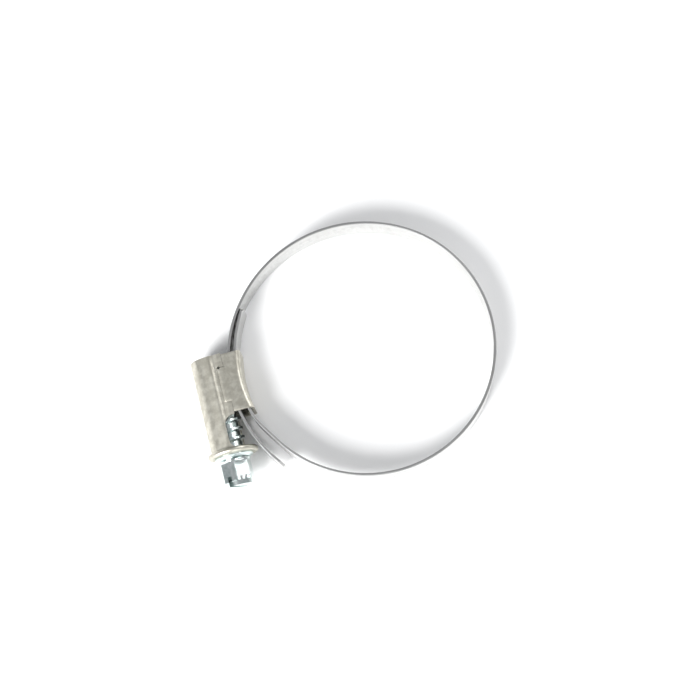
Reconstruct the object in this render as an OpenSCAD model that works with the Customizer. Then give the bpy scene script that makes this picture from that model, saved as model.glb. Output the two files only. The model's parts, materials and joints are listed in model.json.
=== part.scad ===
// Worm-drive hose clamp with a 9 mm band.
// The origin is the centre of the hose seat, half way across the band's width. +Z is the ring's
// axis. The housing is on the -X side, and the screw runs parallel to Y with its head towards -Y.
// The one-piece spring steel band is drawn as short links, which stand for its flexing.

/* [Ring] */
// Inner radius of the clamped ring, where the hose is held
seat_r = 31.65; // [25:0.05:40]
// Width of the band
band_w = 9; // [7.5:0.1:12]
// Thickness of the band
band_t = 0.7; // [0.5:0.05:0.8]
// Gap between two neighbouring band links
link_gap = 0.06; // [0.04:0.01:0.1]
// Gap at the one open pivot of the chain, on the far side of the ring
open_gap = 0.5; // [0.3:0.05:0.8]
// Number of links on the round part of the ring
ring_links = 13; // [9:1:16]
// Number of links on the lifted part, behind the housing
lift_links = 5; // [4:1:6]
// Ring angle where the fixed end joins the first link
fixed_a = 214; // [210:1:220]
// Gap between the fixed end and the threaded band that passes over it
lift_gap = 1.37; // [1:0.01:1.8]
// Length of band with slots behind the worm
slotted_len = 69; // [40:1:70]

/* [Worm screw] */
// Outer radius of the worm thread
worm_r = 3.82; // [3.1:0.02:4.3]
// Pitch of the worm and of the band's slots
pitch = 2.36; // [1.9:0.02:2.9]
// Depth of the worm thread
thread_h = 0.95; // [0.7:0.05:1.1]
// Width of the thread at its crest
crest_w = 0.6; // [0.4:0.05:0.8]
// Width of the thread at its root
root_w = 1.15; // [0.9:0.05:1.4]
// How far the worm reaches into the band
mesh_h = 0.42; // [0.3:0.02:0.45]
// Free length between the worm and the front plate
worm_front_gap = 0.95; // [0.5:0.05:2]
// Free length between the worm and the rear wall
worm_rear_gap = 1.7; // [0.5:0.1:2.5]
// Size of the hexagon across its flats
hex_af = 7; // [6:0.5:8]
// Length of the hexagon
hex_len = 6.6; // [5:0.1:8]
// Turn of the hexagon about the screw's axis
hex_turn = 23; // [0:1:60]
// Length of the bevel on the hexagon's corners
hex_bevel = 1.2; // [0.6:0.1:2]
// Radius of the hexagon's end inside that bevel
hex_end_r = 3.4; // [2.8:0.05:3.5]
// Width of the screwdriver slot
slot_w = 1.3; // [0.8:0.1:1.6]
// Depth of the screwdriver slot
slot_h = 2.5; // [1:0.1:3.5]
// Radius of the collar under the hexagon
collar_r = 4.9; // [4.5:0.05:5.2]
// Length of the collar
collar_len = 1.5; // [1:0.1:2]
// Length of the collar's straight edge, before its cone
collar_edge = 0.6; // [0.3:0.1:0.9]
// Radius of the neck that turns in the front plate
neck_r = 3.0; // [2.7:0.05:3.2]
// Radius of the pin at the rear end of the screw
tip_r = 1.9; // [1.5:0.05:2.2]

/* [Housing] */
// Thickness of the housing's sheet
sheet_t = 0.7; // [0.5:0.05:0.9]
// Thickness of the saddle's floor
saddle_t = 0.8; // [0.6:0.05:1]
// Thickness of the front plate
plate_t = 0.8; // [0.6:0.05:1]
// Distance from the screw's axis to the seam between the two sheets
seam_drop = 3; // [2.6:0.1:3.6]
// Distance from the middle of the band to the rear end of the barrel
barrel_rear = 7.5; // [7:0.1:9]
// Distance from the middle of the band to the front plate
barrel_front = 16.5; // [14.5:0.1:18]
// Distance to the rear end of the saddle
saddle_rear = 7; // [6:0.1:7.4]
// Distance to the front end of the saddle
saddle_front = 7.5; // [6.5:0.1:8.5]
// Outer radius of the rolled rim round the front plate
rim_r = 6.4; // [5.6:0.05:6.5]
// Radius of the bead that is rolled along the rim
bead_r = 0.7; // [0.5:0.02:0.9]
// Length of each locking tab along the screw
tab_len = 8.9; // [6:0.1:10]
// Distance from the middle of the band to the middle of each tab, towards the rear
tab_shift = -0.5; // [-1:0.05:1.5]
// Height of each locking tab
tab_h = 1.8; // [1.2:0.1:2]
// How far the tongue of the fixed end reaches behind the middle, as a ring angle
tongue_a = 32.5; // [26:0.5:34]
// Ring angle between the saddle and the start of the step in the fixed end
step_a = 1.5; // [0.5:0.5:3]

/* [Tail] */
// Angle from the mesh point to the tip of the free tail
tail_a = 40.3; // [30:0.1:48]
// Angle from the mesh point back to the first link
tail_back_a = 45; // [36:1:52]
// Size of the bevels on the tail's corners
tail_corner = 1.5; // [0.5:0.1:3]
// Length of plain band between the last slot and the tip
tip_plain = 2.4; // [1.8:0.1:4]

/* [Fits] */
// Radial clearance of the screw in its two bearings
run_fit = 0.06; // [0.03:0.01:0.09]
// Radial clearance of the worm in the barrel
worm_gap = 0.8; // [0.15:0.01:0.95]
// Clearance round the worm in the band's slots
slot_fit = 0.08; // [0.06:0.01:0.12]
// Axial play of the collar against the front plate, and of the pin in the rear wall
end_play = 0.05; // [0.03:0.01:0.1]
// Clearance between the rear wall and the band below it
rear_gap = 0.8; // [0.5:0.1:1.2]
// Clearance between the band's edges and the housing's walls
side_fit = 0.2; // [0.1:0.01:0.4]
// Clearance between sheets that lie or lock against each other
sheet_fit = 0.03; // [0.02:0.01:0.05]

/* [Hidden] */
LINKS = ring_links + lift_links;
LINK_NODES = [for (k = [1:LINKS]) str("band_link_", k < 10 ? "0" : "", k)];
$fn = 96;
eps = 0.01;
over = 1; // how far a cutter passes beyond the face that it cuts
far = 50; // longer than any piece of the housing

// ring and lifted arc: the lifted part of the band leaves the ring's circle smoothly at lift_a
ring_mid = seat_r + band_t / 2;
lift_a = 60;
fixed_mid = seat_r + saddle_t + sheet_fit + band_t / 2;
lift_h = fixed_mid - ring_mid + band_t + lift_gap;
lift_shift = lift_h / (1 + cos(lift_a));
arc_r = ring_mid + lift_shift;
arc_x = -lift_shift * cos(lift_a);
arc_y = -lift_shift * sin(lift_a);
tail_start = 180 - tail_back_a;
lift_step = (tail_start - lift_a) / lift_links;
ring_step = (360 + lift_a - fixed_a) / ring_links;
open_link = round(LINKS / 2);

// screw: its axis stands off the band so that the thread dips mesh_h into it
axis_x = arc_x - arc_r - band_t / 2 - worm_r + mesh_h;
mesh_r = arc_r + band_t / 2 - mesh_h / 2;
slot_step = pitch / mesh_r * 180 / PI;
lead_a = atan(pitch / (2 * PI * (worm_r - mesh_h / 2)));
core_r = worm_r - thread_h;
thread_from = worm_front_gap + root_w / 2 - barrel_front;
thread_to = barrel_rear - sheet_t - worm_rear_gap - root_w / 2;
slots_ahead = floor((tail_a - tip_plain / arc_r * 180 / PI) / slot_step);
slots_behind = floor(slotted_len / pitch);

// housing
bore_r = worm_r + worm_gap;
barrel_r = bore_r + sheet_t;
wall_z = band_w / 2 + side_fit;
seam_x = axis_x + seam_drop;
window_from = saddle_front + 0.1;
plate_end = barrel_front + plate_t;
collar_from = plate_end + end_play;
hex_from = collar_from + collar_len;
hex_to = hex_from + hex_len;
hex_r = hex_af / 2 / cos(30);

// A solid of revolution along the screw's axis: [distance towards the head, radius] points.
module on_screw(points) {
    translate([axis_x, 0, 0])
        rotate([90, 0, 0])
            rotate_extrude()
                polygon([for (p = points) [p[1], p[0]]]);
}

// A plain cylinder along the screw's axis, between two distances towards the head.
module rod(from, to, r) {
    translate([axis_x, -from, 0])
        rotate([90, 0, 0])
            cylinder(h = to - from, r = r);
}

// A curved stretch of band about the origin of the caller's frame.
module strip(from_a, to_a, mid_r) {
    rotate([0, 0, from_a])
        rotate_extrude(angle = to_a - from_a, $fn = 180)
            translate([mid_r - band_t / 2, -band_w / 2])
                square([band_t, band_w]);
}

// The slots that the worm runs in, as tilted discs from slot number first to slot number last.
module slot_cutters(first, last) {
    disc_r = worm_r + slot_fit;
    half = crest_w / 2 + slot_fit;
    flare = half + (root_w - crest_w) / 2;
    for (k = [first:last])
        rotate([0, 0, k * slot_step])
            translate([axis_x - arc_x, 0, 0])
                rotate([90 + lead_a, 0, 0])
                    rotate_extrude($fn = 64)
                        polygon([[0, -flare], [disc_r - thread_h, -flare], [disc_r, -half],
                                 [disc_r, half], [disc_r - thread_h, flare], [0, flare]]);
}

// Cutter that bevels one corner of the tail's tip, on the side given by its sign.
module corner_cutter(side) {
    reach = 4 * tail_corner;
    rotate([0, 0, 180 + tail_a - tail_corner / arc_r * 180 / PI])
        translate([arc_r - band_t, 0, side * band_w / 2])
            rotate([side * 45, 0, 0])
                translate([0, 0, -reach])
                    cube([2 * band_t, reach, 2 * reach]);
}

// Upper sheet: barrel, outer side walls, rear wall, window and the front plate with its rim.
module housing_shell() {
    color("tan")
        difference() {
            union() {
                translate([axis_x, barrel_rear, 0])
                    rotate([90, 0, 0])
                        linear_extrude(height = barrel_rear + barrel_front)
                            barrel_section();
                // rear wall, cut short of the band
                intersection() {
                    rod(-barrel_rear, -barrel_rear + sheet_t, bore_r + sheet_t / 2);
                    translate([axis_x - barrel_r, -far, -far])
                        cube([barrel_r + worm_r - mesh_h - rear_gap, 2 * far, 2 * far]);
                }
                rod(barrel_front - eps, plate_end, rim_r - bead_r);
                translate([axis_x, -plate_end + bead_r / 2, 0])
                    rotate([90, 0, 0])
                        rotate_extrude()
                            translate([rim_r - bead_r, 0])
                                circle(r = bead_r, $fn = 32);
            }
            // bearings of the screw
            rod(-barrel_rear - over, -barrel_rear + sheet_t + over, tip_r + run_fit);
            rod(barrel_front - over, plate_end + over, neck_r + run_fit);
            // window towards the head, open on the upper side
            translate([axis_x, -barrel_front, -bore_r])
                cube([far, barrel_front - window_from, far]);
            // seats for the locking tabs
            for (side = [-1, 1])
                translate([seam_x - tab_h - sheet_fit, tab_shift - tab_len / 2 - sheet_fit,
                           side > 0 ? wall_z - eps : -wall_z - sheet_t - over])
                    cube([far, tab_len + 2 * sheet_fit, sheet_t + over + eps]);
        }
}

// Cross-section of the upper sheet: x is towards the hose, y is along the ring's axis.
module barrel_section() {
    difference() {
        union() {
            circle(r = barrel_r);
            translate([0, -wall_z - sheet_t])
                square([seam_x - axis_x, 2 * (wall_z + sheet_t)]);
        }
        circle(r = bore_r);
        translate([sheet_t, -wall_z])
            square([far, 2 * wall_z]);
    }
}

// Lower sheet: the curved seat that closes the ring, with side walls and locking tabs.
module saddle() {
    length = saddle_rear + saddle_front;
    color("darkkhaki") {
        // curved floor between the walls
        rotate([0, 0, 180 - asin(saddle_rear / seat_r)])
            rotate_extrude(angle = asin(saddle_rear / seat_r) + asin(saddle_front / seat_r),
                           $fn = 180)
                translate([seat_r, -wall_z - eps])
                    square([saddle_t, 2 * (wall_z + eps)]);
        for (side = [-1, 1])
            translate([0, 0, side > 0 ? wall_z : -wall_z - sheet_t])
                difference() {
                    union() {
                        translate([seam_x + sheet_fit, -saddle_front, 0])
                            cube([far, length, sheet_t]);
                        translate([seam_x - tab_h, tab_shift - tab_len / 2, 0])
                            cube([tab_h + over, tab_len, sheet_t]);
                    }
                    translate([0, 0, -over])
                        cylinder(h = sheet_t + 2 * over, r = seat_r, $fn = 180);
                }
    }
}

// Fixed end of the band: the tongue behind, the stretch held in the saddle, and the joggle.
module fixed_band_end() {
    joggle_from = 180 + asin(saddle_front / seat_r) + step_a;
    joggle_to = fixed_a - step_a;
    from_a = 180 - tongue_a;
    to_a = fixed_a - link_gap / 2 / ring_mid * 180 / PI;
    steps = ceil(to_a - from_a);
    // the band lies on the saddle, then steps smoothly down to the ring
    function mid_at(a) =
        let (t = min(1, max(0, (a - joggle_from) / (joggle_to - joggle_from))))
            fixed_mid + (ring_mid - fixed_mid) * t * t * (3 - 2 * t);
    function side_points(offset) = [for (i = [0:steps])
        let (a = from_a + (to_a - from_a) * i / steps)
            (mid_at(a) + offset) * [cos(a), sin(a)]];
    function reversed(list) = [for (i = [len(list) - 1:-1:0]) list[i]];
    color("lightgray")
        translate([0, 0, -band_w / 2])
            linear_extrude(height = band_w)
                polygon(concat(side_points(-band_t / 2), reversed(side_points(band_t / 2))));
}

// Worm screw: pin, threaded core, neck, collar and slotted hexagon, as one turned piece.
module worm_screw() {
    color("lightsteelblue")
        difference() {
            union() {
                rod(-barrel_rear + 2 * end_play, -thread_to, tip_r);
                worm_thread();
                rod(-thread_from, collar_from + eps, neck_r);
                on_screw([[collar_from, 0], [collar_from, collar_r], [collar_from + collar_edge, collar_r],
                          [hex_from, hex_r], [hex_from, 0]]);
                intersection() {
                    translate([axis_x, -hex_from + eps, 0])
                        rotate([90, hex_turn, 0])
                            cylinder(h = hex_len, r = hex_r, $fn = 6);
                    // turned bevel on the hexagon's end
                    on_screw([[hex_from - over, 0], [hex_from - over, hex_r + over],
                              [hex_to - hex_bevel, hex_r], [hex_to, hex_end_r], [hex_to, 0]]);
                }
            }
            translate([axis_x, -hex_to, 0])
                rotate([0, hex_turn - 60, 0])
                    translate([-slot_w / 2, -over, -far])
                        cube([slot_w, slot_h + over, 2 * far]);
        }
}

// Core and thread as one closed form. Each ring of four points (root, crest, crest, root) is
// carried along the helix, the root of one turn is joined to the root of the next, and a fan
// of triangles round a point on the axis closes each end.
module worm_thread() {
    per_turn = 24;
    rings = round((thread_to - thread_from) / pitch * per_turn);
    first_angle = 360 * (thread_from - arc_y) / pitch;
    run_out = per_turn / 3;
    function rise(i) = max(0.1, min(1, min(i, rings - i) / run_out));
    function ring(i) =
        let (a = i / per_turn * 360 + first_angle, y = thread_from + i / per_turn * pitch,
             crest = core_r + thread_h * rise(i))
            [for (q = [[core_r, -root_w / 2], [crest, -crest_w / 2], [crest, crest_w / 2],
                       [core_r, root_w / 2]])
                [axis_x + q[0] * cos(a), y + q[1], -q[0] * sin(a)]];
    function two_triangles(a, b, c, d) = [[a, b, c], [a, c, d]];
    function fan(tip, loop) = [for (i = [0:len(loop) - 1])
        [tip, loop[(i + 1) % len(loop)], loop[i]]];
    last = 4 * rings;
    front_tip = last + 4;
    flanks = [for (i = [0:rings - 1]) for (j = [0:2])
        each two_triangles(4 * i + j, 4 * i + j + 1, 4 * i + j + 5, 4 * i + j + 4)];
    roots = [for (i = [0:rings - per_turn - 1]) let (next = 4 * (i + per_turn))
        each two_triangles(4 * i + 3, next, next + 4, 4 * i + 7)];
    front_loop = concat([0, 1, 2, 3], [for (i = [per_turn:-1:1]) 4 * i]);
    rear_loop = concat([last + 3, last + 2, last + 1, last],
                       [for (i = [rings - per_turn:rings - 1]) 4 * i + 3]);
    polyhedron(points = concat([for (i = [0:rings]) each ring(i)],
                               [[axis_x, thread_from - root_w, 0], [axis_x, thread_to + root_w, 0]]),
               faces = concat(flanks, roots, fan(front_tip, front_loop),
                              fan(front_tip + 1, rear_loop)));
}

// Threaded end of the band, from the first link through the housing to the free tip.
module threaded_tail() {
    gap_a = link_gap / 2 / arc_r * 180 / PI;
    color("silver")
        translate([arc_x, arc_y, 0])
            difference() {
                strip(tail_start + gap_a, 180 + tail_a, arc_r);
                slot_cutters(-ceil(tail_back_a / slot_step), slots_ahead);
                for (side = [-1, 1])
                    corner_cutter(side);
            }
}

// Link number k of the chain. Number 1 meets the tail, and the last one meets the fixed end.
module band_link(k) {
    lifted = k <= lift_links;
    mid_r = lifted ? arc_r : ring_mid;
    step = lifted ? lift_step : ring_step;
    high_a = lifted ? tail_start - (k - 1) * step : lift_a - (k - 1 - lift_links) * step;
    gap_high = (k == open_link + 1 ? open_gap : link_gap) / 2 / mid_r * 180 / PI;
    gap_low = (k == open_link ? open_gap : link_gap) / 2 / mid_r * 180 / PI;
    from_a = high_a - step + gap_low;
    to_a = high_a - gap_high;
    color(k % 2 == 0 ? "gainsboro" : "lightgray")
        translate(lifted ? [arc_x, arc_y, 0] : [0, 0, 0])
            difference() {
                strip(from_a, to_a, mid_r);
                if (lifted)
                    slot_cutters(max(-slots_behind, floor((from_a - 180) / slot_step)),
                                 ceil((to_a - 180) / slot_step));
            }
}

housing_shell();
saddle();
fixed_band_end();
worm_screw();
threaded_tail();
for (k = [1:LINKS])
    band_link(k);
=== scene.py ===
# %% [markdown]
# # A worm-drive hose clamp
# The model is read from model.glb and model.json: its bodies, joints and solids stand in one fixed
# frame, in metres.
# This lesson dresses that frame. A steel band, a pressed housing in two sheets and a turned
# screw are made in mesh code, and each gets a metal finish made from nodes.

# %% Load the frame
import json
import math

import bmesh
import bpy
from mathutils import Matrix, Vector


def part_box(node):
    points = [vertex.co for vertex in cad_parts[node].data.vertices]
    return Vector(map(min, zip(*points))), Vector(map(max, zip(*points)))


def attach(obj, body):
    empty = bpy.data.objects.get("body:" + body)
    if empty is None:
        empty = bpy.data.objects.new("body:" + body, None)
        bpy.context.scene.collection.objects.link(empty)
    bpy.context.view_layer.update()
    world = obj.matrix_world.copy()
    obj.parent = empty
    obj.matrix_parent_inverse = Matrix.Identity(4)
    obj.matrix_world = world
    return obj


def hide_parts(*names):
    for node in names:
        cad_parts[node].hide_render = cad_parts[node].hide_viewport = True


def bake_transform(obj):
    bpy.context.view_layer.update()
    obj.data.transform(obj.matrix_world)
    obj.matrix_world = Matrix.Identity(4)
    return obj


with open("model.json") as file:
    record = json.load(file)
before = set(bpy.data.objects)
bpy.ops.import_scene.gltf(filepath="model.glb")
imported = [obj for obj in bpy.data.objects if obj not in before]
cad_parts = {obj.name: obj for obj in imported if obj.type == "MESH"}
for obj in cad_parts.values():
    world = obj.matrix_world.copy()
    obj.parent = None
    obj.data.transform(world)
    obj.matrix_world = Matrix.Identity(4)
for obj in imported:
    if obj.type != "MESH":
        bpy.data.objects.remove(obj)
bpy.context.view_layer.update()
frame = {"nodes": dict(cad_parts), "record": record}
record = frame["record"]
joints = {joint["name"]: joint for joint in record["behaviour"]["joints"]}
mounts = {mount["name"]: mount for mount in record["mounts"]}

# %% [markdown]
# The sizes come from the frame. Meshes are made in millimetres, which keeps the numbers easy to
# read, and are shrunk to metres when a piece is finished. The ring's inner radius is the hose
# seat's radius, the band's middle line runs through the flex hinges, and the screw's axis is the
# axis of its joint.

# %% Sizes from the frame, in millimetres
MM = 1000.0


def place(joint_name):
    """A joint's place in the ring's plane, in millimetres."""
    x, y, _ = joints[joint_name]["pos_m"]
    return Vector((x * MM, y * MM))


seat_r = mounts["hose_seat"]["dims"]["r_mm"]
arc_centre = place("band_travel")
arc_r = (place("flex_01") - arc_centre).length
ring_mid = place("flex_18").length
band_t = 2 * (ring_mid - seat_r)
screw_x = place("screw_spin").x
band_w = (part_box("threaded_tail")[1][2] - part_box("threaded_tail")[0][2]) * MM
link_count = sum(name.startswith("band_link") for name in frame["nodes"])
print(f"band {band_w:.2f} x {band_t:.2f}, ring radius {seat_r}, screw axis at x {screw_x:.2f}")

# %% [markdown]
# ## Camera
# The clamp lies on its side, and the camera looks down into the ring, a little from the front.
# A long lens from 45 cm keeps the ring nearly round. A small roll sets the housing on the slant.

# %% Camera
camera_tilt = math.radians(12.35)
camera_roll = math.radians(-14.4)
camera_away = 0.450
camera_aim = Vector((-0.0041, 0.0002, 0.0045))

camera_data = bpy.data.cameras.new("camera")
camera_data.lens = 93.0
camera_data.sensor_width = 36.0
camera_data.clip_start = 0.01
camera = bpy.data.objects.new("camera", camera_data)
bpy.context.collection.objects.link(camera)
turn = Matrix.Rotation(camera_tilt, 4, "X") @ Matrix.Rotation(camera_roll, 4, "Z")
camera.matrix_world = Matrix.Translation(camera_aim + turn @ Vector((0, 0, camera_away))) @ turn
bpy.context.scene.camera = camera
print("camera at", [round(v, 3) for v in camera.matrix_world.translation])

# %% [markdown]
# ## Shader maths
# Node trees read best as formulas. `Wire` stands for one output socket, and its operators add
# Math nodes, so `1 - mask` is a subtraction in the tree. Everything that isn't plain number
# maths goes through one method, `Finish.node`, which takes the node's type, its settings and
# what goes into its sockets.


# %% Wires and finishes
class Wire:
    """One output socket of a node tree, with arithmetic."""

    def __init__(self, finish, socket):
        self.finish, self.socket = finish, socket

    def math(self, operation, *others):
        sockets = dict(enumerate((self, *others)))
        return self.finish.node("ShaderNodeMath", {"operation": operation}, sockets)

    def __add__(self, other):
        return self.math("ADD", other)

    def __sub__(self, other):
        return self.math("SUBTRACT", other)

    def __mul__(self, other):
        return self.math("MULTIPLY", other)

    def __truediv__(self, other):
        return self.math("DIVIDE", other)

    def __rsub__(self, other):
        return (self * -1) + other

    __radd__, __rmul__ = __add__, __mul__


class Finish:
    """A material, its Principled shader and the nodes that feed it."""

    def __init__(self, name, **constants):
        self.material = bpy.data.materials.new(name)
        self.material.use_nodes = True
        self.tree = self.material.node_tree
        self.shader = self.tree.nodes["Principled BSDF"]
        for socket, value in constants.items():
            self.shader.inputs[socket.replace("_", " ")].default_value = value

    def node(self, kind, settings=None, sockets=None, output=0):
        made = self.tree.nodes.new(kind)
        for key, value in (settings or {}).items():
            setattr(made, key, value)
        for key, value in (sockets or {}).items():
            self.feed(made.inputs[key], value)
        return Wire(self, made.outputs[output])

    def feed(self, socket, value):
        if isinstance(value, Wire):
            self.tree.links.new(value.socket, socket)
        else:
            socket.default_value = value

    def give(self, **wires):
        """Feeds the shader's own sockets, such as Base_Color or Roughness."""
        for socket, wire in wires.items():
            self.feed(self.shader.inputs[socket.replace("_", " ")], wire)

    def mix(self, amount, low, high):
        """A colour between two colours."""
        return self.node("ShaderNodeMix", {"data_type": "RGBA"}, {0: amount, 6: low, 7: high}, 2)

    def ramp(self, value, low, high):
        """0 below low, 1 above high, smooth between them."""
        return self.node("ShaderNodeMapRange", {"interpolation_type": "SMOOTHSTEP"},
                         {0: value, 1: low, 2: high})

    def noise(self, vector, scale, detail=3.0, roughness=0.55):
        return self.node("ShaderNodeTexNoise", {},
                         {"Vector": vector, "Scale": scale, "Detail": detail,
                          "Roughness": roughness})

    def place(self):
        """Where a point is on the object, as three wires in millimetres."""
        here = self.node("ShaderNodeTexCoord", output="Object")
        apart = self.node("ShaderNodeSeparateXYZ", sockets={0: here}).socket.node
        return [Wire(self, apart.outputs[i]) * MM for i in range(3)]

    def vector(self, x, y, z):
        return self.node("ShaderNodeCombineXYZ", sockets={0: x, 1: y, 2: z})

    def bump(self, height, distance, strength=1.0):
        return self.node("ShaderNodeBump", {},
                         {"Height": height, "Distance": distance, "Strength": strength})


print("finishes are ready to be written")

# %% [markdown]
# ## Band steel
# The band is bright cold-rolled strip. Rolling leaves fine streaks along its length, and handling
# leaves a few soft smudges. The streaks follow the ring, so the noise is stretched in
# cylinder coordinates: angle along the band, and height across it. The slit edges are rougher,
# and their colour is darkened as painted shade, for the dark look of the band's upward rim.


# %% Finish of the band
def make_band_steel():
    steel = Finish("band_steel", Metallic=1.0)
    x, y, z = steel.place()
    radius = (x * x + y * y).math("SQRT")
    along = y.math("ARCTAN2", x) * (ring_mid * 0.12)
    streaks = steel.noise(steel.vector(along, radius * 3.0, z * 9.0), 1.0, 4.0, 0.6)
    smudges = steel.noise(steel.vector(x, y, z), 0.22, 3.0)
    pits = steel.noise(steel.vector(x, y, z), 5.0, 2.0)
    # Painted shade: towards both slit edges the colour is darkened to a dark grey, for the dark
    # look of the upward rim; the edges are also rougher.
    edge = steel.ramp(z.math("ABSOLUTE"), band_w / 2 - 0.22, band_w / 2 - 0.02)
    bright = steel.mix(steel.ramp(streaks, 0.30, 0.72),
                       (0.48, 0.48, 0.47, 1), (0.68, 0.68, 0.67, 1))
    worn = steel.mix(steel.ramp(smudges, 0.52, 0.80) * 0.35, bright, (0.55, 0.55, 0.53, 1))
    steel.give(Base_Color=steel.mix(edge * 0.75, worn, (0.30, 0.30, 0.30, 1)),
               Roughness=0.24 + streaks * 0.12 + smudges * 0.08 + edge * 0.12,
               Normal=steel.bump(streaks * 0.7 + pits * 0.3, 0.00002, 0.5))
    return steel.material


band_steel = make_band_steel()
print("made", band_steel.name)

# %% [markdown]
# ## Housing steel
# The two pressed sheets carry a zinc and aluminium coat, which is a warm grey and softly
# mottled. Fine grain in the roughness breaks up the highlight along the barrel, and faint draw
# marks run along the screw.


# %% Finish of the housing
def make_housing_steel():
    steel = Finish("housing_steel", Metallic=1.0)
    x, y, z = steel.place()
    grain = steel.noise(steel.vector(x, y, z), 3.2, 5.0, 0.62)
    mottle = steel.noise(steel.vector(x, y, z), 0.55, 3.0, 0.6)
    draw = steel.noise(steel.vector(x * 3.0, y * 0.25, z * 3.0), 1.4, 3.0)
    tone = steel.mix(steel.ramp(mottle, 0.35, 0.70), (0.50, 0.48, 0.41, 1), (0.67, 0.65, 0.57, 1))
    flecks = steel.mix(steel.ramp(grain, 0.60, 0.82) * 0.5, tone, (0.44, 0.43, 0.38, 1))
    steel.give(Base_Color=flecks,
               Roughness=0.30 + grain * 0.16 + draw * 0.08,
               Normal=steel.bump(grain * 0.6 + draw * 0.4, 0.00004, 0.6))
    return steel.material


housing_steel = make_housing_steel()
print("made", housing_steel.name)

# %% [markdown]
# ## Screw plating
# The screw is turned steel under bright zinc, which is cool and slightly blue. Turning
# leaves fine rings round the axis, so one noise changes quickly along the screw and slowly
# round it, and a second one lays a little tint over the plate.


# %% Finish of the screw
def make_screw_plate():
    plate = Finish("screw_plate", Metallic=1.0)
    x, y, z = plate.place()
    from_axis = (x - screw_x) * (x - screw_x) + z * z
    rings = plate.noise(plate.vector(from_axis * 0.4, y * 7.0, from_axis * 0.2), 1.0, 3.0)
    tint = plate.noise(plate.vector(x, y, z), 0.7, 3.0)
    cool = plate.mix(plate.ramp(tint, 0.35, 0.70), (0.62, 0.70, 0.69, 1), (0.80, 0.85, 0.84, 1))
    plate.give(Base_Color=cool,
               Roughness=0.13 + rings * 0.10 + tint * 0.05,
               Normal=plate.bump(rings, 0.00002, 0.35))
    return plate.material


screw_plate = make_screw_plate()
print("made", screw_plate.name)

# %% [markdown]
# ## Making and finishing pieces
# Three small helpers do the work on every piece. `solid` turns points and faces into an object.
# `carve` runs a Boolean modifier and keeps its result, which is how holes and windows are cut
# from a pressed sheet. `finish_piece` rounds sharp edges with a Bevel modifier, because no real
# sheet has a perfectly sharp edge, and an edge without a bevel never catches the light.


# %% Helpers for meshes
def solid(name, points, faces):
    mesh = bpy.data.meshes.new(name)
    mesh.from_pydata([tuple(p) for p in points], [], faces)
    made = bpy.data.objects.new(name, mesh)
    bpy.context.collection.objects.link(made)
    sheet = bmesh.new()
    sheet.from_mesh(mesh)
    bmesh.ops.remove_doubles(sheet, verts=sheet.verts, dist=1e-5)
    bmesh.ops.recalc_face_normals(sheet, faces=sheet.faces)
    sheet.to_mesh(mesh)
    sheet.free()
    return made


def keep_result(made):
    """Replaces an object's mesh by what its modifiers make of it."""
    bpy.context.view_layer.update()
    result = bpy.data.meshes.new_from_object(
        made.evaluated_get(bpy.context.evaluated_depsgraph_get()))
    made.modifiers.clear()
    made.data = result
    return made


def carve(made, tool, operation="DIFFERENCE"):
    change = made.modifiers.new("carve", "BOOLEAN")
    change.object, change.operation, change.solver = tool, operation, "EXACT"
    keep_result(made)
    bpy.data.objects.remove(tool)
    return made


def finish_piece(made, material, edge=0.0, steps=2, sharp=35.0):
    if edge:
        rounding = made.modifiers.new("rounding", "BEVEL")
        rounding.width, rounding.segments = edge, steps
        rounding.limit_method, rounding.angle_limit = "ANGLE", math.radians(sharp)
        rounding.miter_outer = "MITER_ARC"
        keep_result(made)
    mesh = made.data
    mesh.transform(Matrix.Scale(1 / MM, 4))
    mesh.polygons.foreach_set("use_smooth", [True] * len(mesh.polygons))
    mesh.set_sharp_from_angle(angle=math.radians(sharp))
    mesh.materials.clear()
    mesh.materials.append(material)
    print(f"{made.name}: {len(mesh.polygons)} faces")
    return made


# %% [markdown]
# ## The band's route
# Measured from the point under the worm, the band runs one way to the tip of the tail and the
# other way round the ring. Near the housing it follows an arc of its own, and further round it
# follows the ring's circle. `band_frame` gives the middle line's place and the outward direction
# at any distance along the band, in millimetres, positive towards the tail.


# %% Route of the band
def angle_about(point, centre):
    return math.atan2(point.y - centre.y, point.x - centre.x) % (2 * math.pi)


lift_angle = angle_about(arc_centre, Vector((0, 0))) - math.pi
arc_end = -(math.pi - lift_angle) * arc_r


def band_frame(s):
    if s >= arc_end:
        angle = math.pi + s / arc_r
        centre, radius = arc_centre, arc_r
    else:
        angle = lift_angle + (s - arc_end) / ring_mid
        centre, radius = Vector((0, 0)), ring_mid
    outward = Vector((math.cos(angle), math.sin(angle)))
    return centre + outward * radius, outward


def distance_to(point):
    """Distance along the band of a point on its middle line."""
    on_arc = (angle_about(point, arc_centre) - math.pi) * arc_r
    if abs((point - arc_centre).length - arc_r) < 0.01 and on_arc >= arc_end - 0.01:
        return on_arc
    round_ring = (lift_angle - angle_about(point, Vector((0, 0)))) % (2 * math.pi)
    return arc_end - round_ring * ring_mid


tail_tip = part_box("threaded_tail")[0]
tail_y = tail_tip[1] * MM - arc_centre.y
tip_s = math.asin(-tail_y / (arc_r + band_t / 2)) * arc_r
first_s, end_s = distance_to(place("flex_01")), distance_to(place(f"flex_{link_count}"))
print("links from", round(first_s, 2), "to", round(end_s, 2), "tip", round(tip_s, 2))

# %% [markdown]
# ## The pressed slots
# The worm runs in slots that are pressed into the band's outer face. Each one leans by the
# thread's lead angle and fades out towards its ends, and its back shows as a low ridge on the
# inside. They are real shape here, not bump: the grid of the band is fine enough to
# carry them, and each grid point is moved in or out by what `slot_depth` says.

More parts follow.
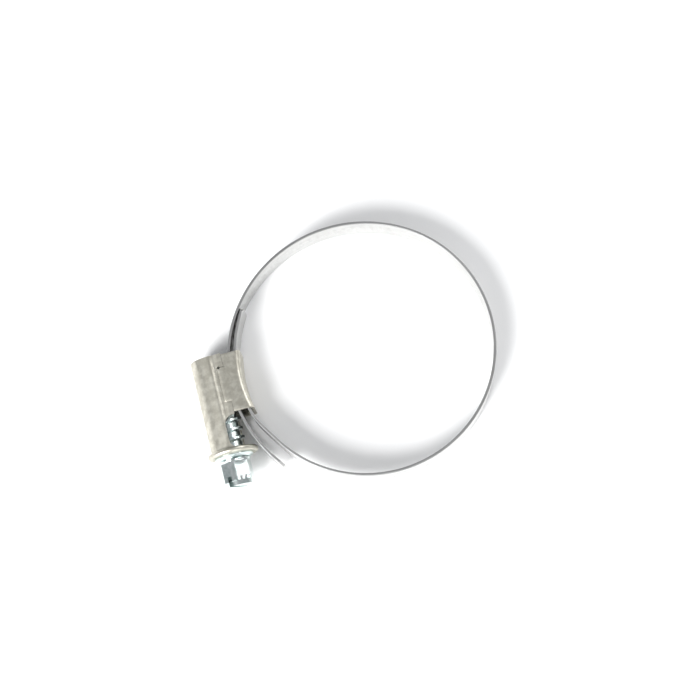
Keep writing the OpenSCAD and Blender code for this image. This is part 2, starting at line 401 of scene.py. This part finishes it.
# %% Slots of the thread
worm_pitch = 2.36
worm_r = 3.82
mesh_radius = arc_r + band_t / 2 - 0.21
slot_step = worm_pitch / mesh_radius * arc_r
lead_slope = worm_pitch / (2 * math.pi * worm_r)
slot_half_length = 1.95
slot_bottom, slot_flare = 0.30, 0.26
slots_behind, slots_ahead = 29, 9


def smooth(t):
    t = min(1.0, max(0.0, t))
    return t * t * (3 - 2 * t)


def slot_depth(s, z):
    """How deep the slot is at a point of the outer face, from 0 to 1."""
    lean = s - z * lead_slope
    number = round(lean / slot_step)
    if not -slots_behind <= number <= slots_ahead or abs(z) > slot_half_length:
        return 0.0
    off = abs(lean - number * slot_step)
    side = smooth((slot_bottom + slot_flare - off) / slot_flare)
    return side * math.sqrt(1 - (z / slot_half_length) ** 2)


print("slots every", round(slot_step, 3), "mm along the band")

# %% [markdown]
# ## Band pieces
# A cross-section with rounded edges is carried along the route. The band is one strip, yet it
# bends at the hinges of the chain, so it is made as a row of pieces. Each piece reaches
# from the middle of one link to the middle of the next. A piece whose two links belong to one
# body rides on that body. A piece that spans a hinge between two bodies is not bent over it
# and is attached to no body, so it stays where it lies at rest.

# %% Cross-section and sweep
edge_round = 0.16
groove = 0.46
ridge = 0.16


def section(fine):
    """Points round the band's section as (outward, across) from its middle, and their share of
    the pressed slots: 1 on the outer face, -1 on the inner one, 0 on the edges."""
    half_w, half_t = band_w / 2, band_t / 2
    flat = half_w - edge_round
    count = 44 if fine else 12
    zs = [flat * (2 * i / count - 1) for i in range(count + 1)]
    corner = [math.radians(a) for a in (22.5, 45, 67.5)]
    outer = [(half_t, z, 1) for z in zs]
    top = [(half_t - edge_round + edge_round * math.cos(a), flat + edge_round * math.sin(a), 0)
           for a in corner]
    rest = [(half_t - edge_round, half_w, 0), (edge_round - half_t, half_w, 0)]
    top_side = top + rest + [(-o, z, 0) for o, z, _ in reversed(top)]
    inner = [(-half_t, z, -1) for z in reversed(zs)]
    bottom_side = [(o, -z, 0) for o, z, _ in reversed(top_side)]
    return outer + top_side + inner + bottom_side


def sweep(name, stations, ring, dent=None, width=None):
    """Carries a section along stations, each (place, outward direction, distance)."""
    points = []
    for centre, outward, s in stations:
        shrink = width(s) if width else 0.0
        for offset, z, face in ring:
            press = dent(s, z) if dent and face else 0.0
            offset -= press * (groove if face > 0 else ridge)
            z_in = math.copysign(min(abs(z), band_w / 2 - shrink), z)
            spot = centre + outward * offset
            points.append((spot.x, spot.y, z_in))
    count, rows = len(ring), len(stations)
    faces = [(r * count + c, r * count + (c + 1) % count,
              (r + 1) * count + (c + 1) % count, (r + 1) * count + c)
             for r in range(rows - 1) for c in range(count)]
    faces += [tuple(range(count)), tuple((rows - 1) * count + c for c in range(count))]
    return solid(name, points, faces)


threaded_step, plain_step = 0.16, 0.9
tip_corner = 1.5


def band_piece(name, high, low, threaded):
    """The band between two distances, as one closed piece."""
    step = threaded_step if threaded else plain_step
    count = max(2, math.ceil((high - low) / step))
    stations = []
    for i in range(count + 1):
        s = high + (low - high) * i / count
        stations.append((*band_frame(s), s))
    made = sweep(name, stations, section(threaded), slot_depth if threaded else None,
                 tip_bevel if threaded else None)
    return finish_piece(made, band_steel)


def tip_bevel(s):
    """How much narrower the band is at each edge, near its tip."""
    left = tip_s - s
    return max(0.0, tip_corner - left)


# %% [markdown]
# The pieces are numbered from the tail. The first rides on the tail alone. The chain is open at
# one place on the far side of the ring, so there two short pieces meet end to end.


# %% Pieces along the chain
link_body = {node: body for body, nodes in record["behaviour"]["bodies"].items()
             for node in nodes}
lift_links, open_link = 5, 9
ring_links = link_count - lift_links
bend_reach, fixed_reach = 3.4, 0.8


def bend(piece, first, second, hinge, after=bend_reach):
    """A piece between two links of one body is attached to that body. For a piece over a hinge the
    ends of a bend, a few millimetres to each side, are worked out but not used: the piece is not
    bent, and its transform is only baked into its mesh."""
    if first == second:
        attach(piece, first)
        return
    ends = [band_frame(hinge + bend_reach)[0] / MM, band_frame(hinge - after)[0] / MM]
    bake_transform(piece)


def link(k):
    return f"band_link_{k:02d}"


def body(k):
    return link_body[link(k)]


def dress(piece, *nodes):
    if nodes:
        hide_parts(*nodes)
    return piece


bounds = [first_s + (arc_end - first_s) * k / lift_links for k in range(lift_links)]
bounds += [arc_end + (end_s - arc_end) * k / ring_links for k in range(ring_links + 1)]
open_s = bounds[open_link]
middle = [None] + [(bounds[k - 1] + bounds[k]) / 2 for k in range(1, link_count + 1)]
threaded_to = -(slots_behind + 0.7) * slot_step
straight = 4.2
print("the chain is open at", round(open_s, 2), "and threaded to", round(threaded_to, 2))

# %% The tail, and the pieces that follow it
tail_piece = band_piece("band_tail", tip_s, first_s + straight, True)
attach(tail_piece, "tail")
dress(tail_piece, "threaded_tail")

upper = first_s + straight
for k in range(1, open_link + 1):
    piece = band_piece(f"band_bend_{k:02d}", upper, middle[k], upper > threaded_to)
    bend(piece, "tail" if k == 1 else body(k - 1), body(k), bounds[k - 1])
    dress(piece, link(k))
    upper = middle[k]

# %% The two short pieces where the chain is open
for name, high, low, k in (("band_end_a", middle[open_link], open_s, open_link),
                           ("band_end_b", open_s, middle[open_link + 1], open_link + 1)):
    piece = band_piece(name, high, low, False)
    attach(piece, body(k))
    dress(piece)

# %% The pieces from there to the fixed end
fixed_to = math.radians(212.5)
fixed_from = distance_to(Vector((math.cos(fixed_to), math.sin(fixed_to))) * ring_mid)
for k in range(open_link + 1, link_count + 1):
    last = k == link_count
    piece = band_piece(f"band_bend_{k:02d}", middle[k], fixed_from if last else middle[k + 1],
                       False)
    bend(piece, body(k), "housing" if last else body(k + 1), bounds[k],
         fixed_reach if last else bend_reach)
    dress(piece, link(k))

# %% [markdown]
# ## The fixed end of the band
# The other end of the strip lies on the saddle. In front of the housing it steps up from the
# ring's circle onto the saddle's floor, and behind the housing it ends in a tongue, which stops
# hose rubber from being pinched under the threaded part.


# %% Fixed end
fixed_box = [Vector(corner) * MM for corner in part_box("fixed_band_end")]
fixed_mid = -fixed_box[0].x - band_t / 2
tongue_angle = math.pi - math.asin(fixed_box[1].y / (fixed_mid + band_t / 2))
step_from, step_to = math.radians(195.2), math.radians(212.0)
tongue_corner = 1.6


def fixed_station(angle):
    rise = smooth((step_to - angle) / (step_to - step_from))
    outward = Vector((math.cos(angle), math.sin(angle)))
    return outward * (ring_mid + (fixed_mid - ring_mid) * rise), outward, angle


def tongue_bevel(angle):
    """The tongue's two corners are rounded in plan."""
    left = (angle - tongue_angle) * fixed_mid
    if left >= tongue_corner:
        return 0.0
    return tongue_corner * (1 - math.sqrt(max(0.0, 1 - (1 - left / tongue_corner) ** 2)))


fixed_count = 90
turn_list = [tongue_angle + (fixed_to - tongue_angle) * i / fixed_count
             for i in range(fixed_count + 1)]
fixed_end = sweep("band_fixed_end", [fixed_station(a) for a in turn_list], section(False),
                  width=tongue_bevel)
finish_piece(fixed_end, band_steel)
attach(fixed_end, "housing")
dress(fixed_end, "fixed_band_end")
print("tongue tip at", round(math.degrees(tongue_angle), 1), "degrees")

# %% [markdown]
# ## Turning and cutting
# The housing and the screw share one axis, and the screw points to -Y. Round parts are
# lathed about that axis from a profile of (distance towards the head, radius) points, and plain
# blocks and rounded blocks serve as cutters.


# %% Turned and cut shapes
def turned(name, profile, segments=96, loop=False, start=0.0):
    """A solid of revolution about the screw's axis. A loop is a ring with a closed profile."""
    angles = [start + 2 * math.pi * i / segments for i in range(segments)]
    points = [(screw_x + r * math.cos(t), -u, r * math.sin(t)) for u, r in profile for t in angles]
    rows = len(profile)
    faces = [(i * segments + j, i * segments + (j + 1) % segments,
              (i + 1) % rows * segments + (j + 1) % segments, (i + 1) % rows * segments + j)
             for i in range(rows if loop else rows - 1) for j in range(segments)]
    if not loop:
        faces += [tuple(range(segments)), tuple((rows - 1) * segments + j for j in range(segments))]
    return solid(name, points, faces)


def prism(name, outline, low, high):
    """An outline in the ring's plane, extruded along the ring's axis."""
    count = len(outline)
    points = [(x, y, z) for z in (low, high) for x, y in outline]
    faces = [tuple(range(count)), tuple(range(count, 2 * count))]
    faces += [(i, (i + 1) % count, count + (i + 1) % count, count + i) for i in range(count)]
    return solid(name, points, faces)


def block(low, high, radius=0.0):
    """A cutter between two corners, with corners rounded in the ring's plane."""
    outline = []
    for quarter, (cx, cy) in enumerate(((high[0] - radius, high[1] - radius),
                                        (low[0] + radius, high[1] - radius),
                                        (low[0] + radius, low[1] + radius),
                                        (high[0] - radius, low[1] + radius))):
        for step in range(7 if radius else 1):
            angle = math.radians(90 * quarter + 15 * step)
            outline.append((cx + radius * math.cos(angle), cy + radius * math.sin(angle)))
    return prism("cutter", outline, low[2], high[2])


print("lathe and cutters are ready")

# %% [markdown]
# ## The housing's upper sheet
# One pressed sheet makes the barrel round the worm and a wall at each side of it. Its outer
# face starts as an arc, rises to a crest where the wall begins, dips along a shallow
# valley and runs flat to the seam. The inner face lies one sheet thickness inside it.

# %% Section of the upper sheet
saddle_low, saddle_high = [Vector(corner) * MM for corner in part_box("saddle")]
shell_low, shell_high = [Vector(corner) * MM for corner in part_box("housing_shell")]
sheet_t = 0.7
barrel_r = 5.32
bore_r = barrel_r - sheet_t
wall_out = saddle_high.z
seam = 3.0
barrel_rear = -shell_high.y
plate_rear, plate_front = 16.5, 17.3


def curve_between(first, last, slope_first, slope_last, count):
    """Points of a cubic curve from one point to another, without the first."""
    run = last[0] - first[0]
    points = []
    for i in range(1, count + 1):
        t = i / count
        height = ((2 * t**3 - 3 * t**2 + 1) * first[1] + (3 * t**2 - 2 * t**3) * last[1]
                  + (t**3 - 2 * t**2 + t) * run * slope_first + (t**3 - t**2) * run * slope_last)
        points.append((first[0] + run * t, height))
    return points


def upper_sheet_section(seam_at):
    """The sheet's closed section, as (towards the hose from the axis, along the ring's axis)."""
    arc_to = math.radians(74)
    side = [(-barrel_r * math.cos(arc_to * i / 18), barrel_r * math.sin(arc_to * i / 18))
            for i in range(19)]
    crest, valley, wall = (-0.30, wall_out - 0.02), (0.85, wall_out - 0.28), (1.95, wall_out)
    side += curve_between(side[-1], crest, 1 / math.tan(arc_to), 0, 8)
    side += curve_between(crest, valley, 0, 0, 8)
    side += curve_between(valley, wall, 0, 0, 8)
    side.append((seam_at, wall_out))
    outer = [(x, -z) for x, z in reversed(side[1:])] + side
    inner = []
    for i, (x, z) in enumerate(outer):
        ahead, behind = outer[min(i + 1, len(outer) - 1)], outer[max(i - 1, 0)]
        along = Vector((ahead[0] - behind[0], ahead[1] - behind[1])).normalized()
        inner.append((x + along.y * sheet_t, z - along.x * sheet_t))
    inner[0], inner[-1] = (seam_at, inner[0][1]), (seam_at, inner[-1][1])
    return outer + inner[::-1]


def upper_sheet(name, seam_at, front, rear):
    ring = upper_sheet_section(seam_at)
    count = len(ring)
    steps = 12
    points = [(screw_x + x, rear + (front - rear) * i / steps, z)
              for i in range(steps + 1) for x, z in ring]
    faces = [(i * count + j, i * count + (j + 1) % count, (i + 1) * count + (j + 1) % count,
              (i + 1) * count + j) for i in range(steps) for j in range(count)]
    faces += [tuple(range(count)), tuple(steps * count + j for j in range(count))]
    return solid(name, points, faces)


shell = upper_sheet("housing_shell_skin", seam - 0.04, -plate_rear - 0.2, -barrel_rear)
print("the section has", len(upper_sheet_section(seam)), "points")

# %% [markdown]
# The openings come next. A window near the head lets the worm's crumbs fall out and shows the
# threads, and each wall has a seat for the saddle's locking tab, with a small relief hole at its
# rear corner. Boolean cuts are the natural tool here, because a press punches the same shapes.

# %% Window, tab seats and relief holes
far = 12.0
window_rear, window_edge = 8.3, 0.1
tab_y, tab_half, tab_h = -0.5, 4.45, 1.8
tab_gap = 0.07
tab_edge = screw_x + seam - tab_h
relief_from, relief_size = 0.15, 0.70
relief_behind = 0.32


def relief_tool(z_low, z_high):
    """The cutter of the small round hole at a tab's rear corner."""
    x, y = tab_edge + relief_from, tab_y + tab_half - relief_behind
    return block((x, y, z_low), (x + relief_size, y + relief_size, z_high), relief_size / 2 - 0.001)


carve(shell, block((screw_x + window_edge, -plate_rear, -bore_r),
                   (screw_x + far, -window_rear, far), 2.2))
for side in (-1, 1):
    z_low, z_high = sorted((side * (wall_out - 1.2), side * (wall_out + 1)))
    carve(shell, block((tab_edge - tab_gap, tab_y - tab_half - tab_gap, z_low),
                       (screw_x + far, tab_y + tab_half + tab_gap, z_high), 0.25))
    carve(shell, relief_tool(z_low, z_high))
print("cut:", len(shell.data.polygons), "faces")

# %% [markdown]
# Both ends of the barrel carry the screw. The rear wall has a small bearing hole, and the front
# plate has a larger one and a rim that is rolled over into a bead.

# %% Rear wall and front plate
pin_r, neck_r, run_fit = 1.9, 3.0, 0.06
rim_r, bead_r = shell_high.z, 0.7
bead_u, bead_at = plate_front - bead_r / 2, rim_r - bead_r
bead_foot, wall_cut = 0.58, 2.6

rear_wall = turned("rear_wall", [(barrel_rear + 0.02, pin_r + run_fit),
                                 (barrel_rear + sheet_t, pin_r + run_fit),
                                 (barrel_rear + sheet_t, bore_r + sheet_t / 2),
                                 (barrel_rear + 0.02, bore_r + sheet_t / 2)], loop=True)
carve(rear_wall, block((screw_x + wall_cut, -far, -far), (screw_x + 2 * far, far, far)))
bead = [(bead_u + bead_r * math.cos(math.radians(a)), bead_at + bead_r * math.sin(math.radians(a)))
        for a in range(-40, 221, 20)]
front_plate = turned("front_plate", [(plate_rear, neck_r + run_fit),
                                     (plate_front, neck_r + run_fit),
                                     (plate_front, bead_at - bead_foot), *bead,
                                     (plate_rear, bead_at - bead_foot)], loop=True)
carve(shell, rear_wall, "UNION")
carve(shell, front_plate, "UNION")
finish_piece(shell, housing_steel, edge=0.09, steps=2, sharp=40)
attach(shell, "housing")
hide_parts("housing_shell")

# %% [markdown]
# ## The saddle
# The lower sheet is a trough. Its floor follows the hose, its two walls are folded up with
# a round bend, and a tab on each wall locks into the upper sheet. The tab has to lie flush with
# that sheet, so it is cut from a second copy of the same pressed section.

# %% Saddle
fold_r = 1.1


def saddle_section(y):
    floor = -math.sqrt(seat_r**2 - y**2)
    turns = [math.radians(a) for a in range(0, 91, 15)]
    centre = (floor - fold_r, wall_out - fold_r)

    def face(inset):
        bend_r = fold_r - inset
        return ([(screw_x + seam + 0.02, wall_out - inset)]
                + [(centre[0] + bend_r * math.sin(a), centre[1] + bend_r * math.cos(a))
                   for a in turns])

    outer, inner = face(0.0), face(sheet_t)
    around = outer + [(x, -z) for x, z in reversed(outer)]
    back = inner + [(x, -z) for x, z in reversed(inner)]
    return around + back[::-1]


saddle_steps = 29
saddle_rows = [saddle_low.y + (saddle_high.y - saddle_low.y) * i / saddle_steps
               for i in range(saddle_steps + 1)]
ring_size = len(saddle_section(0))
saddle_points = [(x, y, z) for y in saddle_rows for x, z in saddle_section(y)]
saddle_faces = [(i * ring_size + j, i * ring_size + (j + 1) % ring_size,
                 (i + 1) * ring_size + (j + 1) % ring_size, (i + 1) * ring_size + j)
                for i in range(saddle_steps) for j in range(ring_size)]
saddle_faces += [tuple(range(ring_size)),
                 tuple(saddle_steps * ring_size + j for j in range(ring_size))]
saddle = solid("saddle_skin", saddle_points, saddle_faces)

for side in (-1, 1):
    z_low, z_high = sorted((side * (wall_out - 1.2), side * (wall_out + 1)))
    tab = upper_sheet("tab", seam + 0.5, tab_y - tab_half - 1, tab_y + tab_half + 1)
    carve(tab, block((tab_edge, tab_y - tab_half, z_low),
                     (screw_x + far, tab_y + tab_half, z_high), 0.2), "INTERSECT")
    carve(saddle, tab, "UNION")
    carve(saddle, relief_tool(z_low, z_high))
finish_piece(saddle, housing_steel, edge=0.09, steps=2, sharp=40)
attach(saddle, "housing")
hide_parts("saddle")

# %% [markdown]
# ## The worm screw
# Pin, worm, neck, collar and hexagon are one turned piece. Every point of it lies at some angle
# and some distance along the axis, so one function of these two can give its radius: a helix
# for the worm, a cone for the collar and six flats for the head. The points round the axis are
# laid so that every sixth of them meets a corner of the hexagon.

# %% Radius of the screw
thread_h = 0.95
worm_core = worm_r - thread_h
crest_half, root_half = 0.30, 0.575
worm_from, worm_to = -14.975, 4.525
hex_half = 3.5
hex_corner = math.radians(-23)
collar_from = plate_front + 0.05
collar_r, collar_edge, cone_to = 4.9, 0.6, 18.85
hex_to = -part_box("worm_screw")[0][1] * MM
hex_bevel, hex_end_r = 1.2, 3.4
run_out_len = 0.7


def hexagon(angle):
    off = (angle - hex_corner) % math.radians(60) - math.radians(30)
    return min(hex_half / math.cos(off), hex_half / math.cos(math.radians(30)) - 0.05)


def worm(u, angle):
    """Radius of the threaded stretch."""
    turns = (-u - arc_centre.y) / worm_pitch + angle / (2 * math.pi)
    off = (turns - round(turns)) * worm_pitch
    along = (-u - off - worm_from) / worm_pitch
    left = (worm_to - worm_from) / worm_pitch - along
    fade = smooth(min(along, left) * 3)
    return worm_core + thread_h * fade * smooth((root_half - abs(off)) / (root_half - crest_half))


def cone(u, angle):
    return collar_r + (hexagon(0) - collar_r) * (u - collar_from - collar_edge) / (
        cone_to - collar_from - collar_edge)


def head(u, angle):
    """The flats run out in a hollow against the collar, and a bevel trims the far corners."""
    base = hexagon(angle)
    run_out = 1 - smooth((u - cone_to) / run_out_len)
    trimmed = hexagon(0) + (hex_end_r - hexagon(0)) * (u - hex_to + hex_bevel) / hex_bevel
    return min(base + (hexagon(hex_corner) - base) * run_out, max(trimmed, hex_end_r)
               if u > hex_to - hex_bevel else base + 1)


pin_from = -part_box("worm_screw")[1][1] * MM
stretches = [(pin_from, pin_from + 0.2, 2, lambda u, a: pin_r - 0.2 + (u - pin_from)),
             (pin_from + 0.2, -worm_to - root_half, 4, lambda u, a: pin_r),
             (-worm_to - root_half, -worm_from + root_half, 210, worm),
             (-worm_from + root_half, collar_from, 4, lambda u, a: neck_r),
             (collar_from, collar_from + 0.1, 1, lambda u, a: collar_r - 0.1 + u - collar_from),
             (collar_from + 0.1, collar_from + collar_edge, 2, lambda u, a: collar_r),
             (collar_from + collar_edge, cone_to, 5, cone),
             (cone_to, cone_to + run_out_len, 7, head),
             (cone_to + run_out_len, hex_to - hex_bevel, 4, head),
             (hex_to - hex_bevel, hex_to, 12, head)]

# %% Screw
around = 96
screw_points = []
for begin, end, count, radius_at in stretches:
    for i in range(count + 1):
        u = begin + (end - begin) * i / count
        for j in range(around):
            angle = hex_corner + 2 * math.pi * j / around
            r = radius_at(u, angle)
            screw_points.append((screw_x + r * math.cos(angle), -u, r * math.sin(angle)))
screw_rows = len(screw_points) // around
screw_faces = [(i * around + j, i * around + (j + 1) % around,
                (i + 1) * around + (j + 1) % around, (i + 1) * around + j)
               for i in range(screw_rows - 1) for j in range(around)]
screw_faces += [tuple(range(around)),
                tuple((screw_rows - 1) * around + j for j in range(around))]
screw = solid("worm_screw_skin", screw_points, screw_faces)
slot_w, slot_deep, slot_turn = 1.3, 2.5, math.radians(-37)
slot_tool = block((-slot_w / 2, -slot_deep, -far), (slot_w / 2, far, far))
slot_tool.data.transform(Matrix.Translation((screw_x, -hex_to, 0))
                         @ Matrix.Rotation(slot_turn, 4, "Y") @ Matrix.Rotation(math.pi, 4, "Z"))
carve(screw, slot_tool)
finish_piece(screw, screw_plate, sharp=32)
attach(screw, "screw")
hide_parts("worm_screw")

# %% [markdown]
# ## Floor and light
# The clamp lies on the rim of its front plate and on the far side of the ring, so the floor
# leans a little against the ring. The floor is white. A broad lamp stands at the housing's
# side, with a weaker one across from it and a third one low in front of the screw's head. A dim
# sky keeps the upward edges of the band darker than its walls.

# %% Floor
lean_x, lean_y = 0.01905, 0.01827
floor_half = 900.0
floor_paint = Finish("floor_paint", Roughness=0.9)
floor_paint.give(Base_Color=(0.93, 0.93, 0.93, 1))


def floor_height(x, y):
    return -rim_r - 0.01 + lean_y * (y + bead_u) + lean_x * (x - screw_x)


corners = [(-1, -1), (1, -1), (1, 1), (-1, 1)]
floor_mesh = bpy.data.meshes.new("floor")
floor_mesh.from_pydata([(sx * floor_half / MM, sy * floor_half / MM,
                         floor_height(sx * floor_half, sy * floor_half) / MM)
                        for sx, sy in corners], [], [(0, 1, 2, 3)])
floor = bpy.data.objects.new("floor", floor_mesh)
floor_mesh.materials.append(floor_paint.material)
bpy.context.collection.objects.link(floor)


# %% Lamps and sky
def lamp(name, place_at, size, watts, colour=(1, 1, 1)):
    data = bpy.data.lights.new(name, "AREA")
    data.shape, data.size, data.size_y = "RECTANGLE", size[0], size[1]
    data.energy, data.color = watts, colour
    made = bpy.data.objects.new(name, data)
    bpy.context.collection.objects.link(made)
    made.location = place_at
    made.rotation_euler = (-Vector(place_at)).to_track_quat("-Z", "Y").to_euler()
    return made


lamp("key", (-0.50, -0.42, 0.52), (0.30, 0.55), 11.0)
lamp("fill", (0.62, 0.40, 0.55), (0.45, 0.45), 3.6)
lamp("front", (0.25, -0.75, 0.35), (0.5, 0.2), 1.8)

sky = bpy.data.worlds.new("sky")
sky.use_nodes = True
background = sky.node_tree.nodes["Background"]
background.inputs["Color"].default_value = (0.92, 0.94, 0.97, 1)
background.inputs["Strength"].default_value = 0.41
bpy.context.scene.world = sky
bpy.context.scene.view_settings.view_transform = "Standard"
